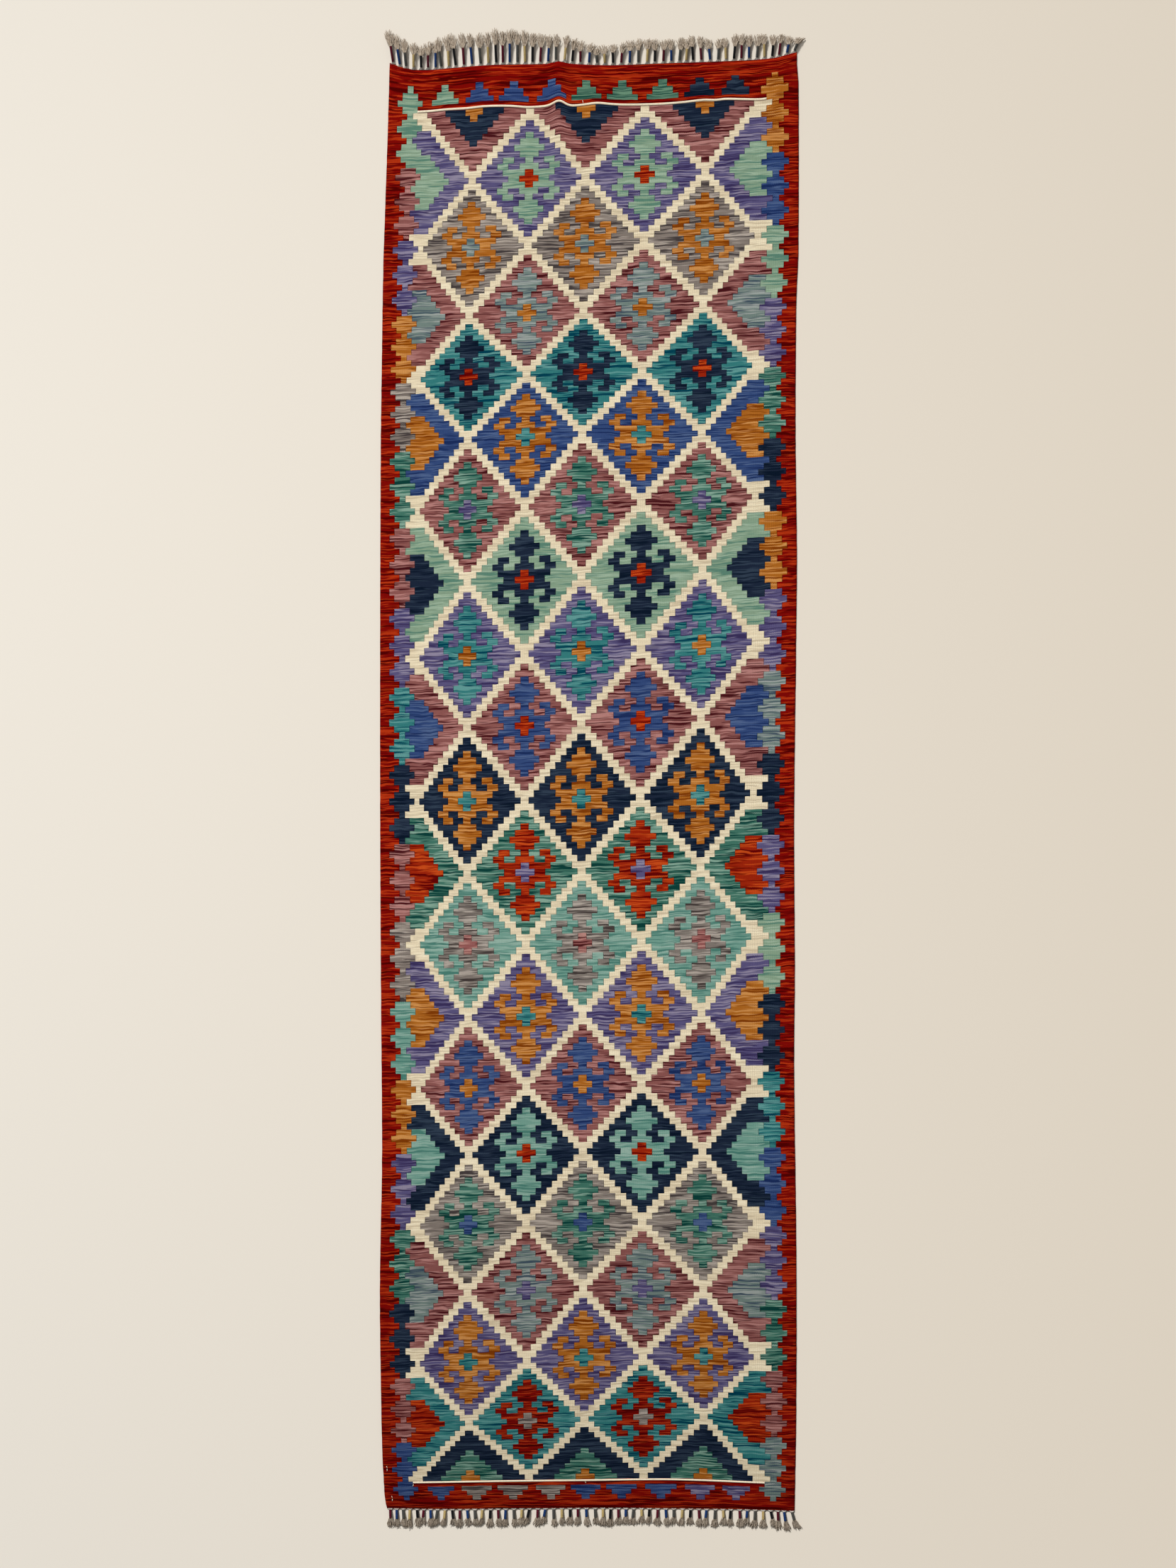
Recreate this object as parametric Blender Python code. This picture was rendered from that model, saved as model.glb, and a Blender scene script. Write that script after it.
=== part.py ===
"""Kilim runner: one flat-woven cloth, with a wrapped fringe along each short end.

The rug lies on its underside. +X runs across it, +Y along it towards the end with the
longer fringe, and +Z is up. The origin is under the middle of the whole rug, on the
surface that it lies on. All sizes are in metres.
"""
import math
import random

import bmesh
import bpy

# The cloth, as woven.
CLOTH_LENGTH = 2.935
HALF_WIDTH = 0.420
CLOTH_THICKNESS = 0.003
LENGTH_STEPS = 24

# A soft pucker that lifts the cloth near the top end.
PUCKER_X = -0.059
PUCKER_HEIGHT = 0.004
PUCKER_HALF_WIDTH = 0.034
PUCKER_LENGTH = 0.110
PUCKER_FALL_IN_FRINGE = 0.030

# The fringe: the warps are gathered into tassels along each end.
TASSELS = 53
MESH_GAP = 0.0003
STRIP_WIDTH = 0.003
ROOT_LENGTH = 0.003
STEM_WIDTH = 0.0042
STEM_HEIGHT = 0.0036
LOCK_TIP_HEIGHT = 0.0022

# Side edges. Columns: place along the cloth (0 bottom, 1 top), reach past the half width.
LEFT_SIDE = (
    (0.000, -0.0100),
    (0.038, -0.0010),
    (0.097, 0.0034),
    (0.156, 0.0048),
    (0.244, 0.0005),
    (0.357, 0.0026),
    (0.509, 0.0045),
    (0.715, 0.0034),
    (0.804, 0.0005),
    (0.863, -0.0024),
    (0.951, -0.0110),
    (1.000, -0.0150),
)
RIGHT_SIDE = (
    (0.000, -0.0040),
    (0.068, 0.0005),
    (0.185, 0.0005),
    (0.300, -0.0038),
    (0.375, -0.0024),
    (0.480, -0.0038),
    (0.600, 0.0003),
    (0.657, 0.0019),
    (0.745, -0.0010),
    (0.833, 0.0005),
    (0.870, 0.0048),
    (0.985, 0.0048),
    (1.000, 0.0020),
)

# End edges. Columns: place across the cloth (0 left, 1 right), rise above the square end.
TOP_END = (
    (0.000, 0.0014),
    (0.028, -0.0070),
    (0.057, -0.0130),
    (0.096, -0.0150),
    (0.152, -0.0100),
    (0.256, -0.0033),
    (0.392, -0.0004),
    (0.418, 0.0035),
    (0.449, -0.0004),
    (0.547, -0.0033),
    (0.678, 0.0006),
    (0.871, 0.0063),
    (0.943, 0.0110),
    (0.977, 0.0179),
    (1.000, 0.0236),
)
BOTTOM_END = (
    (0.000, 0.0006),
    (0.160, -0.0009),
    (0.500, 0.0014),
    (0.860, -0.0014),
    (1.000, -0.0050),
)

# Each fringe. Columns: place across the cloth, length of a tassel, sideways lean of its tip.
TOP_TASSELS = (
    (0.00, 0.068, -0.0120),
    (0.04, 0.062, -0.0055),
    (0.10, 0.054, -0.0020),
    (0.18, 0.070, -0.0030),
    (0.33, 0.066, -0.0010),
    (0.42, 0.058, 0.0005),
    (0.50, 0.048, 0.0000),
    (0.54, 0.043, 0.0005),
    (0.60, 0.051, 0.0010),
    (0.78, 0.051, 0.0010),
    (0.88, 0.058, 0.0025),
    (0.95, 0.053, 0.0030),
    (1.00, 0.044, 0.0110),
)
BOTTOM_TASSELS = (
    (0.00, 0.039, -0.0040),
    (0.08, 0.039, -0.0010),
    (0.30, 0.038, 0.0000),
    (0.85, 0.040, 0.0000),
    (0.94, 0.041, 0.0030),
    (1.00, 0.043, 0.0070),
)
STEM_SHARE_TOP = 0.47
STEM_SHARE_BOTTOM = 0.46
LOCKS_TOP = 3
LOCKS_BOTTOM = 2
BRUSH_WIDTH_TOP = 0.0115
BRUSH_WIDTH_BOTTOM = 0.0118
SLIT_SHARE = 0.28
LOCK_ROOT_SHARE = 0.6
# Each lock is drawn out in two steps. Columns: share of its length, of its spread, of its width.
LOCK_STEPS = (
    (0.45, 0.62, 0.85),
    (1.00, 1.00, 1.00),
)
LENGTH_JITTER = 0.0022
LEAN_JITTER = 0.0005
FRINGE_SEED = 7

# Materials. Columns: red, green, blue, roughness, metallic.
WOOL_RED = (0.30, 0.055, 0.035, 0.95, 0.0)
WOOL_TAUPE = (0.33, 0.29, 0.25, 0.95, 0.0)


def clear_scene():
    for old in list(bpy.data.objects):
        bpy.data.objects.remove(old, do_unlink=True)


def smooth_between(table, place, column=1):
    """A value of the table's column at a place, on a smooth curve through its rows."""
    last = len(table) - 1
    row = 0
    while row < last - 1 and place > table[row + 1][0]:
        row += 1
    before, start = table[max(row - 1, 0)], table[row]
    end, after = table[row + 1], table[min(row + 2, last)]
    span = end[0] - start[0]
    step = (place - start[0]) / span
    slope_start = (end[column] - before[column]) / (end[0] - before[0])
    slope_end = (after[column] - start[column]) / (after[0] - start[0])
    square, cube = step * step, step * step * step
    return (
        (2.0 * cube - 3.0 * square + 1.0) * start[column]
        + (cube - 2.0 * square + step) * span * slope_start
        + (3.0 * square - 2.0 * cube) * end[column]
        + (cube - square) * span * slope_end
    )


def pucker_lift(x, y):
    """Height of the pucker over the surface, at a point of the cloth or the fringe."""
    across = abs(x - PUCKER_X) / PUCKER_HALF_WIDTH
    if across >= 1.0:
        return 0.0
    if y <= CLOTH_LENGTH:
        along = (CLOTH_LENGTH - y) / PUCKER_LENGTH
    else:
        along = (y - CLOTH_LENGTH) / PUCKER_FALL_IN_FRINGE
    if along >= 1.0:
        return 0.0
    bell_across = 0.5 + 0.5 * math.cos(math.pi * across)
    bell_along = 0.5 + 0.5 * math.cos(math.pi * along)
    return PUCKER_HEIGHT * bell_across * bell_along


def side_x(across, along):
    """X of the point at a share of the width and a share of the length."""
    left = -HALF_WIDTH - smooth_between(LEFT_SIDE, along)
    right = HALF_WIDTH + smooth_between(RIGHT_SIDE, along)
    return left + (right - left) * across


def edge_y(across, at_top):
    """Y of the cloth's own end edge, at a share of its width."""
    if at_top:
        return CLOTH_LENGTH + smooth_between(TOP_END, across)
    return smooth_between(BOTTOM_END, across)


def length_lines():
    """Shares of the length where the cloth's mesh has a line, closer near the pucker."""
    lines = [step / LENGTH_STEPS for step in range(LENGTH_STEPS + 1)]
    for back in (0.25, 0.5, 0.75):
        lines.append(1.0 - back / LENGTH_STEPS)
    return sorted(lines)


def thicken(mesh_edit, height):
    """Raises a flat grid into a closed slab of the given height."""
    raised = bmesh.ops.extrude_face_region(mesh_edit, geom=list(mesh_edit.faces))
    top_verts = [item for item in raised["geom"] if isinstance(item, bmesh.types.BMVert)]
    bmesh.ops.translate(mesh_edit, verts=top_verts, vec=(0.0, 0.0, height))
    bmesh.ops.recalc_face_normals(mesh_edit, faces=mesh_edit.faces)


def flat_grid(columns, rows, place):
    """A grid of quads whose vertex at a column and a row goes where place says."""
    mesh_edit = bmesh.new()
    bmesh.ops.create_grid(mesh_edit, x_segments=columns, y_segments=rows, size=1.0)
    for vert in mesh_edit.verts:
        column = round((vert.co.x + 1.0) / 2.0 * columns)
        row = round((vert.co.y + 1.0) / 2.0 * rows)
        vert.co = place(column, row)
    return mesh_edit


def make_material(name, finish):
    red, green, blue, roughness, metallic = finish
    material = bpy.data.materials.new(name)
    material.use_nodes = True
    shader = material.node_tree.nodes["Principled BSDF"]
    shader.inputs["Base Color"].default_value = (red, green, blue, 1.0)
    shader.inputs["Roughness"].default_value = roughness
    shader.inputs["Metallic"].default_value = metallic
    return material


def add_object(name, mesh_edit, material, collection):
    mesh = bpy.data.meshes.new(name)
    mesh_edit.to_mesh(mesh)
    mesh_edit.free()
    mesh.materials.append(material)
    thing = bpy.data.objects.new(name, mesh)
    collection.objects.link(thing)
    return thing


def make_cloth(material, collection):
    """The woven sheet: flat underneath but for the pucker, with its own uneven outline."""
    lines = length_lines()

    def place(column, row):
        across, along = column / TASSELS, lines[row]
        x = side_x(across, along)
        low, high = edge_y(across, False), edge_y(across, True)
        y = low + (high - low) * along
        return (x, y, pucker_lift(x, y))

    sheet = flat_grid(TASSELS, len(lines) - 1, place)
    thicken(sheet, CLOTH_THICKNESS)
    return add_object("kilim", sheet, material, collection)


def extrude_to(mesh_edit, face, left, right, y, low, high):
    """Extrudes one face and puts the new cap's corners at the given sides and heights."""
    middle = face.calc_center_median()
    cap = bmesh.ops.extrude_discrete_faces(mesh_edit, faces=[face])["faces"][0]
    for vert in cap.verts:
        x = left if vert.co.x < middle.x else right
        z = low if vert.co.z < middle.z else high
        vert.co = (x, y, z)
    return cap


def split_across(mesh_edit, face, parts):
    """Splits an upright face into equal parts side by side, from left to right."""
    pieces = []
    rest = face
    for left_over in range(parts, 1, -1):
        level = [edge for edge in rest.edges
                 if abs(edge.verts[0].co.x - edge.verts[1].co.x) > STEM_WIDTH / parts / 2.0]
        new_verts = []
        for edge in level:
            start = min(edge.verts, key=lambda vert: vert.co.x)
            new_verts.append(bmesh.utils.edge_split(edge, start, 1.0 / left_over)[1])
        bmesh.utils.face_split(rest, new_verts[0], new_verts[1])
        halves = {side for vert in new_verts for side in vert.link_faces
                  if all(other in side.verts for other in new_verts)}
        left_half = min(halves, key=lambda side: side.calc_center_median().x)
        rest = max(halves, key=lambda side: side.calc_center_median().x)
        pieces.append(left_half)
    pieces.append(rest)
    return pieces


def make_tassel(mesh_edit, root_face, outward, length, lean, stem_share, locks, brush_width):
    """Draws one tassel out of the strip: gathered root, wrapped stem, and its locks."""
    start = root_face.calc_center_median()
    half_stem = STEM_WIDTH / 2.0

    def centre_x(share):
        return start.x + lean * share * share

    def cap_at(face, share, half_width, height, lift):
        x, y = centre_x(share), start.y + outward * length * share
        return extrude_to(mesh_edit, face, x - half_width, x + half_width, y, lift, lift + height)

    root_share = ROOT_LENGTH / length
    middle_share = (root_share + stem_share) / 2.0
    root_lift = pucker_lift(start.x, start.y)
    middle_lift = pucker_lift(start.x, start.y + outward * length * middle_share)
    cap = cap_at(root_face, root_share, half_stem, STEM_HEIGHT, root_lift)
    cap = cap_at(cap, middle_share, half_stem, STEM_HEIGHT, middle_lift)
    cap = cap_at(cap, stem_share, half_stem, STEM_HEIGHT, 0.0)

    pitch = brush_width / locks
    half_lock = pitch * (1.0 - SLIT_SHARE) / 2.0
    for number, piece in enumerate(split_across(mesh_edit, cap, locks)):
        reach = (number - (locks - 1) / 2.0) * pitch
        root_x = piece.calc_center_median().x
        for share, spread, fullness in LOCK_STEPS:
            along = stem_share + (1.0 - stem_share) * share
            aim = centre_x(along) + reach
            x = root_x + (aim - root_x) * spread
            y = start.y + outward * length * along
            half = half_lock * fullness * (LOCK_ROOT_SHARE + (1.0 - LOCK_ROOT_SHARE) * share)
            height = STEM_HEIGHT + (LOCK_TIP_HEIGHT - STEM_HEIGHT) * share
            piece = extrude_to(mesh_edit, piece, x - half, x + half, y, 0.0, height)


def make_fringe(name, at_top, material, collection):
    """A narrow strip along one end of the cloth, with every tassel drawn out of it."""
    outward = 1.0 if at_top else -1.0
    along = 1.0 if at_top else 0.0
    table = TOP_TASSELS if at_top else BOTTOM_TASSELS
    stem_share = STEM_SHARE_TOP if at_top else STEM_SHARE_BOTTOM
    locks = LOCKS_TOP if at_top else LOCKS_BOTTOM
    brush_width = BRUSH_WIDTH_TOP if at_top else BRUSH_WIDTH_BOTTOM
    chance = random.Random(FRINGE_SEED)

    def place(column, row):
        across = column / TASSELS
        x = side_x(across, along)
        edge = edge_y(across, at_top)
        y = edge + outward * (MESH_GAP + STRIP_WIDTH * row)
        return (x, y, pucker_lift(x, edge))

    strip = flat_grid(TASSELS, 1, place)
    thicken(strip, CLOTH_THICKNESS)
    sides = [face for face in strip.faces if face.normal.y * outward > 0.5]
    sides.sort(key=lambda face: face.calc_center_median().x)
    for number, side in enumerate(sides):
        across = (number + 0.5) / TASSELS
        length = smooth_between(table, across, 1) + chance.uniform(-1.0, 1.0) * LENGTH_JITTER
        lean = smooth_between(table, across, 2) + chance.uniform(-1.0, 1.0) * LEAN_JITTER
        make_tassel(strip, side, outward, length, lean, stem_share, locks, brush_width)
    bmesh.ops.recalc_face_normals(strip, faces=strip.faces)
    return add_object(name, strip, material, collection)


def centre_on_origin(things):
    """Moves all pieces together, so that the origin is under the middle of the rug."""
    points = [vert.co for thing in things for vert in thing.data.vertices]
    middle_x = (min(point.x for point in points) + max(point.x for point in points)) / 2.0
    middle_y = (min(point.y for point in points) + max(point.y for point in points)) / 2.0
    for thing in things:
        thing.location = (-middle_x, -middle_y, 0.0)


def build_rug():
    clear_scene()
    collection = bpy.data.collections.new("kilim_rug")
    bpy.context.scene.collection.children.link(collection)
    woven = make_material("woven_wool", WOOL_RED)
    yarn = make_material("fringe_yarn", WOOL_TAUPE)
    things = [
        make_cloth(woven, collection),
        make_fringe("fringe_top", True, yarn, collection),
        make_fringe("fringe_bottom", False, yarn, collection),
    ]
    centre_on_origin(things)


build_rug()
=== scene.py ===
import math
import random

import bmesh
import bpy
import numpy
from mathutils import Matrix, Vector, noise


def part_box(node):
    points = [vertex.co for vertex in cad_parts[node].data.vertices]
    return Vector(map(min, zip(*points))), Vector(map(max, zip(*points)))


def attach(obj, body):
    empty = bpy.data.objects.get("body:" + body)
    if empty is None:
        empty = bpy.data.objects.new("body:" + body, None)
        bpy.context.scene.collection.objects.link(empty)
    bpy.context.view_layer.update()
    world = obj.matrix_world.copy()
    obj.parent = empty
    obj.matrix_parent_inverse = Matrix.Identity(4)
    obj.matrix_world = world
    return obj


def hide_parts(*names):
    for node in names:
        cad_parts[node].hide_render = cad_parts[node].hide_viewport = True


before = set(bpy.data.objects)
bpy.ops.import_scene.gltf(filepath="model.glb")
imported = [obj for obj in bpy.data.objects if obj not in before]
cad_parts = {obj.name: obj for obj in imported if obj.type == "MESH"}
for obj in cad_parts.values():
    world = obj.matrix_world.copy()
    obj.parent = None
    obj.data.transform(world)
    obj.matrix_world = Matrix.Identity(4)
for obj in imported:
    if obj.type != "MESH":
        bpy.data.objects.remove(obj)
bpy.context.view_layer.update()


def dye(red, green, blue):
    """A colour as the eye sees it, 0 to 255, as the linear values that shaders take."""
    shares = [value / 255.0 for value in (red, green, blue)]
    linear = [share / 12.92 if share <= 0.04045 else ((share + 0.055) / 1.055) ** 2.4
              for share in shares]
    return (*linear, 1.0)


def new_material(name, roughness, shine=0.06):
    """A material with its node tree, its shader and a function that adds nodes to it."""
    material = bpy.data.materials.new(name)
    material.use_nodes = True
    tree = material.node_tree
    shader = tree.nodes["Principled BSDF"]
    shader.inputs["Roughness"].default_value = roughness
    shader.inputs["Specular IOR Level"].default_value = shine

    def add(kind, wires=None, **settings):
        """A new node with its settings, its sockets wired or set to a value."""
        node = tree.nodes.new("ShaderNode" + kind)
        for key, value in settings.items():
            setattr(node, key, value)
        for place, source in (wires or {}).items():
            if isinstance(source, bpy.types.NodeSocket):
                tree.links.new(source, node.inputs[place])
            else:
                node.inputs[place].default_value = source
        return node

    return material, tree, shader, add


FLOOR_HALF = 25.0
FLOOR_DROP = 0.0004
# The floor's colour carries painted light and shade: lighter and cooler at the left, darker and
# warmer at the right, as if lit from the left, up to this reach.
FLOOR_PAINTED_LIT = (224, 219, 210)
FLOOR_PAINTED_SHADE = (220, 211, 197)
TONE_REACH = 1.2

scene = bpy.context.scene
floor_edit = bmesh.new()
bmesh.ops.create_grid(floor_edit, x_segments=2, y_segments=2, size=FLOOR_HALF)
floor_mesh = bpy.data.meshes.new("floor")
floor_edit.to_mesh(floor_mesh)
floor_edit.free()
floor_mesh.transform(Matrix.Translation((0.0, 0.0, -FLOOR_DROP)))
floor = bpy.data.objects.new("floor", floor_mesh)
scene.collection.objects.link(floor)

floor_finish, tree, shader, add = new_material("floor_painted_falloff", 0.85)
place = add("TexCoord")
sides = add("SeparateXYZ", {0: place.outputs["Object"]})
across = add("MapRange", {0: sides.outputs[0], 1: -TONE_REACH, 2: TONE_REACH})
# Painted light and shade: the floor's colour blends from the lighter, cooler tone at the left to
# the darker, warmer tone at the right.
blend = add("Mix", {0: across.outputs[0], 6: dye(*FLOOR_PAINTED_LIT), 7: dye(*FLOOR_PAINTED_SHADE)},
            data_type="RGBA")
tree.links.new(blend.outputs[2], shader.inputs["Base Color"])
floor_mesh.materials.append(floor_finish)

scene.view_settings.view_transform = "Standard"
scene.view_settings.look = "None"
scene.view_settings.exposure = 0.0
scene.view_settings.gamma = 1.0

ROOM_LIGHT = (1.0, 0.985, 0.96, 1.0)
ROOM_STRENGTH = 0.21
WARM_WHITE = (1.0, 0.98, 0.95)
LAMP_PLACE = (-1.6, 0.9, 3.6)
LAMP_AIM = (-1.3, 0.6, 0.0)
LAMP_SIZE = 1.6
WINDOW_SHINES = (0.32, -0.72, -0.62)
WINDOW_ANGLE = 0.18
CAMERA_PLACE = (-0.0041, -0.0056, 7.52)

world = bpy.data.worlds.new("soft_room")
world.use_nodes = True
background = world.node_tree.nodes["Background"]
background.inputs["Color"].default_value = ROOM_LIGHT
background.inputs["Strength"].default_value = ROOM_STRENGTH
scene.world = world


def add_light(name, kind, strength, place, shines):
    """A warm white light at a place, with the direction in which it shines."""
    light = bpy.data.lights.new(name, kind)
    light.energy = strength
    light.color = WARM_WHITE
    lamp = bpy.data.objects.new(name, light)
    lamp.location = place
    lamp.rotation_euler = Vector(shines).to_track_quat("-Z", "Y").to_euler()
    scene.collection.objects.link(lamp)
    return light


lamp_shines = Vector(LAMP_AIM) - Vector(LAMP_PLACE)
add_light("lamp_left", "AREA", 36.0, LAMP_PLACE, lamp_shines).size = LAMP_SIZE
add_light("high_window", "SUN", 3.55, (0.0, 0.0, 0.0), WINDOW_SHINES).angle = WINDOW_ANGLE

lens = bpy.data.cameras.new("camera")
lens.lens = 85.0
lens.sensor_width = 36.0
camera = bpy.data.objects.new("camera", lens)
camera.location = CAMERA_PLACE
scene.collection.objects.link(camera)
scene.camera = camera

# ---------------------------------------------------------------------------
# The woven cloth. One flat-woven sheet of hand-spun wool, made on a loom as slit
# tapestry: the dyed wefts are beaten down until they hide the warps, and each
# stepped patch is worked back and forth with its own yarn.
# ---------------------------------------------------------------------------
CLOTH_LENGTH = 2.935
HALF_WIDTH = 0.420
THICKNESS = 0.0030
COLUMNS = 155
FIRST_ROW = -7
LAST_ROW = 226
ROWS = LAST_ROW - FIRST_ROW + 1
# The lattice field is 20 bands long, and the end borders lie before and after it.
BAND_ROWS = 11
FIELD_ROWS = 20 * BAND_ROWS
MM = 0.001

# The soft pucker near the top end: where it lies, how high and wide it is, how far it runs
# down the cloth and out into the fringe, and the sharper crease along its middle.
PUCKER = {"x": -0.059, "height": 0.004, "half_width": 0.034, "length": 0.110, "out": 0.030,
          "crease": 0.0022, "crease_width": 0.011, "push_width": 0.0155}
# How far the pucker pushes the rows up the cloth: distance below the top edge, push.
PUCKER_PUSH = ((0.0, 0.0), (0.04, 0.0016), (0.085, 0.0100), (0.115, 0.0092), (0.17, 0.0045),
               (0.26, 0.0))

# Side edges: place along the cloth (0 bottom, 1 top), reach past the half width.
LEFT_SIDE = ((0.0, -0.0100), (0.004, -0.0070), (0.013, -0.0040), (0.045, 0.0004),
             (0.097, 0.0034), (0.156, 0.0048), (0.244, 0.0005), (0.357, 0.0026),
             (0.509, 0.0045), (0.715, 0.0034), (0.804, 0.0005), (0.863, -0.0024),
             (0.951, -0.0110), (1.0, -0.0150))
RIGHT_SIDE = ((0.0, -0.0028), (0.068, 0.0005), (0.185, 0.0005), (0.300, -0.0038),
              (0.375, -0.0024), (0.480, -0.0038), (0.600, 0.0003), (0.657, 0.0019),
              (0.745, -0.0010), (0.833, 0.0005), (0.870, 0.0048), (0.985, 0.0048),
              (1.0, 0.0020))
# End edges: place across the cloth (0 left, 1 right), rise above the square end.
TOP_END = ((0.0, 0.0014), (0.028, -0.0070), (0.057, -0.0122), (0.078, -0.0128),
           (0.110, -0.0123), (0.152, -0.0090), (0.256, -0.0028), (0.392, -0.0004),
           (0.418, 0.0035), (0.449, -0.0004), (0.547, -0.0033), (0.678, 0.0006),
           (0.871, 0.0063), (0.943, 0.0110), (0.977, 0.0179), (1.0, 0.0236))
BOTTOM_END = ((0.0, 0.0006), (0.160, -0.0009), (0.500, 0.0014), (0.860, -0.0014),
              (1.0, -0.0050))

# Waves of the top twined line and the rows near it: place across the cloth, millimetres up.
TOP_WAVES = ((0.0, 0.0), (0.10, 0.3), (0.14, 1.7), (0.19, 1.7), (0.24, 3.6), (0.30, 2.0),
             (0.345, -1.9), (0.38, -1.6), (0.41, 0.0), (0.435, -2.8), (0.455, -2.0),
             (0.48, -0.2), (0.515, 2.8), (0.55, 0.0), (0.585, -1.8), (0.66, -1.8),
             (0.72, 0.0), (0.77, 2.4), (0.80, 0.8), (0.825, 1.6), (0.87, -1.4),
             (0.91, -3.6), (0.95, -1.0), (1.0, 0.0))
WAVES_BELOW_TOP = 0.083
WAVES_REACH = 0.055

# The weave is uneven. Column lines, counted from the middle: millimetres from the left.
COLUMN_LINES = ((-77.5, 0.0), (-73.5, 18.7), (-71.5, 28.7), (-69.5, 38.9), (-67.5, 50.8),
                (-65.5, 60.0), (-63.5, 69.8), (-61.5, 80.1), (-59.5, 89.3), (-57.5, 98.6),
                (-55.5, 108.1), (-53.5, 117.4), (-51.5, 127.9), (-49.5, 138.5),
                (-47.5, 148.2), (-42.0, 176.4), (-21.0, 295.2), (0.0, 409.7),
                (21.0, 529.2), (42.0, 650.9), (61.5, 751.0), (63.5, 764.9), (65.5, 775.9),
                (67.5, 787.5), (69.5, 800.8), (71.5, 810.6), (73.5, 820.5), (77.5, 839.8))
# Every eleventh row of the field, counted from its first: millimetres from the bottom end
# at five places across the width, which stand in ROW_PLACES as shares of it.
# The figures were fitted by a script that compared a render with the photo.
ROW_PLACES = (0.081, 0.279, 0.488, 0.699, 0.913)
ROW_NET = (
    (0, 2828, 2837, 2843, 2847, 2858), (11, 2692, 2699, 2705, 2712, 2722),
    (22, 2557, 2563, 2569, 2578, 2586), (33, 2417, 2425, 2433, 2443, 2451),
    (44, 2292, 2301, 2309, 2313, 2323), (55, 2166, 2174, 2183, 2182, 2191),
    (66, 2025, 2031, 2040, 2046, 2056), (77, 1877, 1884, 1893, 1904, 1915),
    (88, 1726, 1733, 1741, 1750, 1761), (99, 1584, 1588, 1595, 1603, 1611),
    (110, 1436, 1437, 1441, 1447, 1454), (121, 1289, 1291, 1295, 1301, 1307),
    (132, 1145, 1146, 1149, 1155, 1163), (143, 996, 998, 1003, 1005, 1010),
    (154, 851, 855, 862, 863, 868), (165, 715, 720, 726, 725, 727),
    (176, 573, 578, 582, 582, 580), (187, 436, 441, 448, 447, 443),
    (198, 294, 299, 306, 309, 308), (209, 170, 176, 182, 188, 185),
    (220, 61, 64, 66, 68, 61),
)
# Rows of the end borders: their share of the way from the field's last row to the edge.
# The top border has a second column, for its right-hand end.
TOP_ROWS = ((-7.5, 1.0, 1.0), (-4.5, 0.640, 0.655), (-3.5, 0.484, 0.548),
            (-2.5, 0.322, 0.382), (-1.5, 0.204, 0.204), (-0.5, 0.062, 0.060),
            (0.0, 0.0, 0.0))
# Where the right-hand end of the top border starts: place across the cloth, share of it.
RIGHT_END = ((0.74, 0.0), (0.86, 1.0))
BOTTOM_ROWS = ((220.0, 0.0), (220.5, 0.087), (221.5, 0.262), (222.5, 0.410),
               (223.5, 0.557), (224.5, 0.705), (226.5, 1.0))
# Sideways drift of the columns, in millimetres to the right: place along the cloth in
# millimetres, drift of the middle columns, drift of the right-hand ones.
# The same script gave the drift, and it was thinned by hand.
COLUMN_DRIFT = ((0, 1.6, 1.9), (98, 1.6, 1.9), (271, 0.7, 2.6), (444, 0.0, 1.7),
                (616, -1.6, 0.9), (789, -1.3, 1.3), (962, -0.3, 0.6), (1135, -0.6, 0.3),
                (1308, -1.6, -0.4), (1480, -2.3, -0.9), (1653, -2.7, -1.0),
                (1826, -4.2, -0.5), (1999, -4.2, -1.0), (2172, -2.0, -0.3),
                (2344, -1.0, 0.7), (2431, -1.6, 0.7), (2604, -3.9, -0.3),
                (2863, -4.9, -1.6), (2935, -4.9, -1.6))
# Which columns drift: place across the cloth, share of the drift.
MIDDLE_COLUMNS = ((0.18, 0.0), (0.28, 1.0), (0.60, 1.0), (0.70, 0.0))
RIGHT_COLUMNS = ((0.62, 0.0), (0.70, 1.0), (0.93, 1.0), (1.0, 0.0))


def smooth_between(table, place, column=1):
    """A value of the table's column at a place, on a smooth curve through its rows."""
    last = len(table) - 1
    row = 0
    while row < last - 1 and place > table[row + 1][0]:
        row += 1
    before, start = table[max(row - 1, 0)], table[row]
    end, after = table[row + 1], table[min(row + 2, last)]
    span = end[0] - start[0]
    step = (place - start[0]) / span
    slope_start = (end[column] - before[column]) / (end[0] - before[0])
    slope_end = (after[column] - start[column]) / (after[0] - start[0])
    square, cube = step * step, step * step * step
    return (
        (2.0 * cube - 3.0 * square + 1.0) * start[column]
        + (cube - 2.0 * square + step) * span * slope_start
        + (3.0 * square - 2.0 * cube) * end[column]
        + (cube - square) * span * slope_end
    )


def between(table, place, column=1):
    """A value of the table's column at a place, on straight lines through its rows."""
    return float(numpy.interp(place, [row[0] for row in table], [row[column] for row in table]))


def bell(share):
    """1 at 0, falling smoothly to 0 at 1 and beyond."""
    return 0.5 + 0.5 * math.cos(math.pi * min(abs(share), 1.0))


def pucker_lift(x, y):
    """Height of the soft pucker near the top end, with the sharper crease along it."""
    past = y - CLOTH_LENGTH
    along = past / PUCKER["out"] if past > 0.0 else past / PUCKER["length"]
    soft = PUCKER["height"] * bell((x - PUCKER["x"]) / PUCKER["half_width"])
    crease = PUCKER["crease"] * math.exp(-(((x - PUCKER["x"]) / PUCKER["crease_width"]) ** 2))
    return (soft + crease) * bell(along)


def side_x(across, along):
    """X at a share of the width and of the length."""
    left = -HALF_WIDTH - smooth_between(LEFT_SIDE, along)
    right = HALF_WIDTH + smooth_between(RIGHT_SIDE, along)
    return left + (right - left) * across


def edge_y(across, at_top):
    """Y of the cloth's end edge, at a share of its width."""
    if at_top:
        return CLOTH_LENGTH + smooth_between(TOP_END, across)
    return smooth_between(BOTTOM_END, across)


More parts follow.
